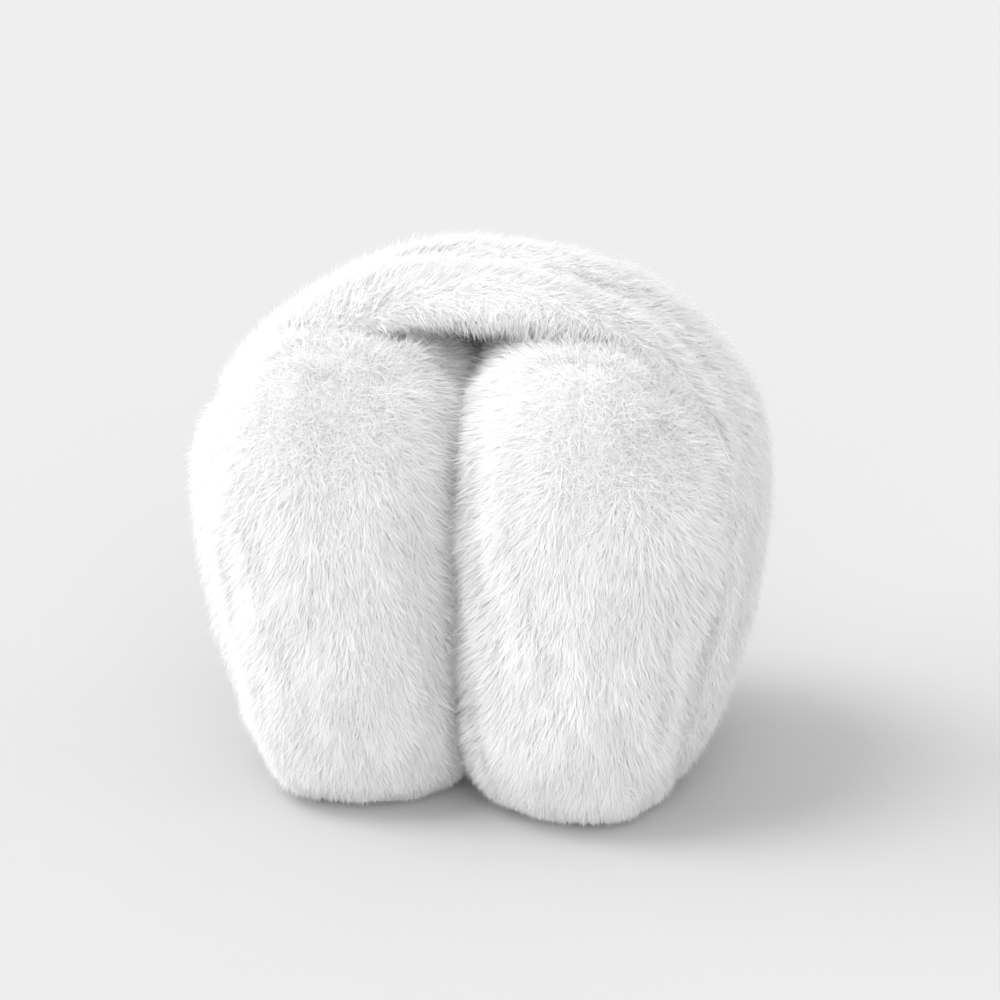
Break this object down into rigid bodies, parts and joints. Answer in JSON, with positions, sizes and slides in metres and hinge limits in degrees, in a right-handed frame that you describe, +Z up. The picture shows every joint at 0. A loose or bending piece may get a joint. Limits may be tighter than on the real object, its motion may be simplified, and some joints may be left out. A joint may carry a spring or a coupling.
{
  "type": "fur earmuffs",
  "caption": "Folding fur earmuffs standing on their plump ear pads under a wide fur headband.",
  "frame": {"origin": "on the floor, under the middle of the earmuffs as they stand folded on their ear pads", "axes": "+Z up to the top of the headband, +X to the right ear pad, +Y to the back, along the depth of the pads"},
  "size_m": [0.1371, 0.1003, 0.1284],
  "materials": {
    "band_fur": "long soft pile",
    "pad_fur": "long soft pile"
  },
  "bodies": {
    "root": {"headband": "band_fur", "ear_pad_left": "pad_fur", "ear_pad_right": "pad_fur"}
  },
  "joints": []
}
